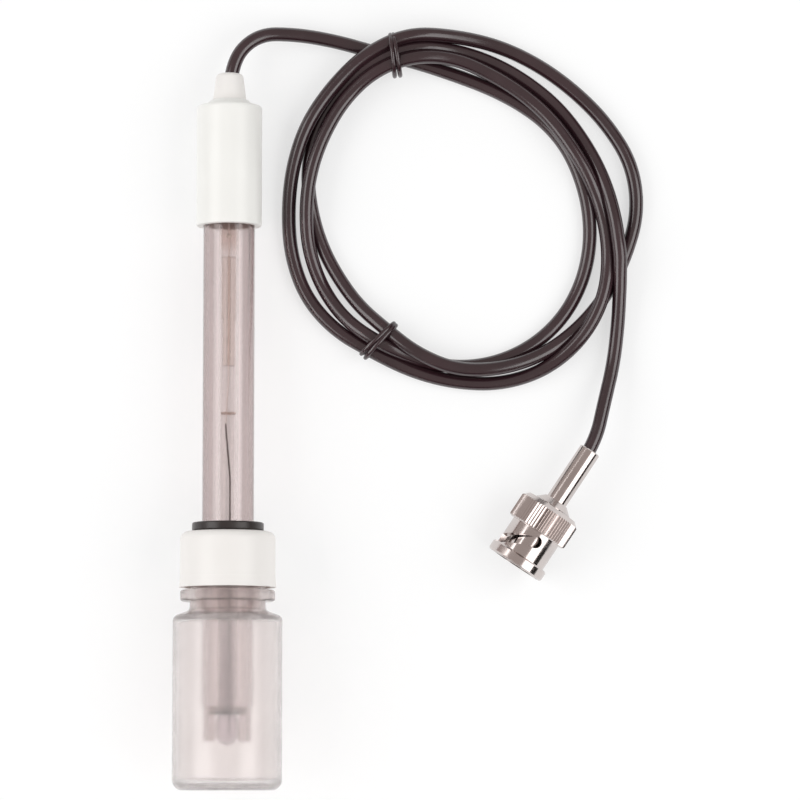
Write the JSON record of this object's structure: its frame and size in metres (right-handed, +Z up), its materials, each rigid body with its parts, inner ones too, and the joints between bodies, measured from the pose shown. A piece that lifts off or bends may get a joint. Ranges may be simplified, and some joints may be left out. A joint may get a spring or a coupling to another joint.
{
  "type": "ph electrode",
  "caption": "Laboratory pH electrode lying on its storage bottle and head: tinted plastic shaft, white head with cable boot, black depth ring, coiled coaxial cable with ties and bayonet plug.",
  "frame": {"origin": "on the surface that the electrode lies on, under the middle of the electrode, the cable and plug left out", "axes": "+Y along the electrode from the storage bottle to the head, +Z up, +X towards the coiled cable"},
  "size_m": [0.1096, 0.178, 0.0268],
  "materials": {
    "head_white": "satin",
    "boot_white": "satin",
    "shaft_tint": "polished, tinted and see-through",
    "stem_glass": "clear",
    "bottle_clear": "clear",
    "cap_white": "semi-gloss",
    "black_rubber": "satin",
    "cable_black": "semi-gloss",
    "nickel": "bright nickel",
    "gilt": "bright",
    "silver_wire": "dull",
    "dark_sleeve": "satin",
    "potting": "satin",
    "junction_white": "porous",
    "pale_insulator": "satin"
  },
  "bodies": {
    "root": {"head_cap": "head_white", "cable_boot": "boot_white", "potting_plug": "potting", "top_plug": "black_rubber", "body_tube": "shaft_tint", "glass_stem": "stem_glass", "tip_seal": "black_rubber", "junction_frit": "junction_white", "inner_wire": "silver_wire", "reference_wire": "silver_wire", "element_sleeve": "dark_sleeve", "stem_stopper": "potting", "wire_bead": "junction_white", "coax_core": "pale_insulator", "cable_lead": "cable_black", "cable_coil": "cable_black", "cable_tail": "cable_black", "tie_upper": "cable_black", "tie_lower": "cable_black", "bnc_ferrule": "nickel", "bnc_body": "nickel", "bnc_retaining_ring": "nickel", "bnc_contact_sleeve": "nickel", "bnc_insulator": "pale_insulator", "bnc_pin": "gilt", "bnc_gasket": "black_rubber", "bnc_wave_washer": "nickel"},
    "stop_ring": {"stop_ring": "black_rubber"},
    "screw_cap": {"screw_cap": "cap_white"},
    "bottle_gasket": {"bottle_gasket": "black_rubber"},
    "storage_bottle": {"storage_bottle": "bottle_clear"},
    "bnc_thrust_washer": {"bnc_thrust_washer": "nickel"},
    "bnc_coupling": {"bnc_coupling": "nickel"}
  },
  "joints": [
    {"name": "ring_slide", "type": "slide", "parent": "root", "child": "stop_ring", "axis": [0, 0.9991, -0.0423], "range_m": [0, 0.0685]},
    {"name": "cap_slide", "type": "slide", "parent": "root", "child": "screw_cap", "axis": [0, -0.9991, 0.0423], "range_m": [0, 0.065]},
    {"name": "bottle_turn", "type": "hinge", "parent": "screw_cap", "child": "bottle_gasket", "pos_m": [0, -0.02645, 0.01189], "axis": [0, -0.9991, 0.0423], "range_deg": [0, 1088]},
    {"name": "bottle_lift", "type": "slide", "parent": "bottle_gasket", "child": "storage_bottle", "axis": [0, -0.9991, 0.0423], "range_m": [0, 0.009]},
    {"name": "coupling_pull", "type": "slide", "parent": "root", "child": "bnc_thrust_washer", "axis": [-0.5548, -0.832, 0], "range_m": [0, 0.0014], "stiffness_N_per_m": 300, "springref_m": -0.001},
    {"name": "coupling_spin", "type": "hinge", "parent": "bnc_thrust_washer", "child": "bnc_coupling", "pos_m": [0.07457, -0.01874, 0.0075], "axis": [-0.5548, -0.832, 0], "continuous": true}
  ],
  "couplings": [
    {"joint": "bottle_turn", "follows": "bottle_lift", "rad_per_m": 2094.4}
  ]
}
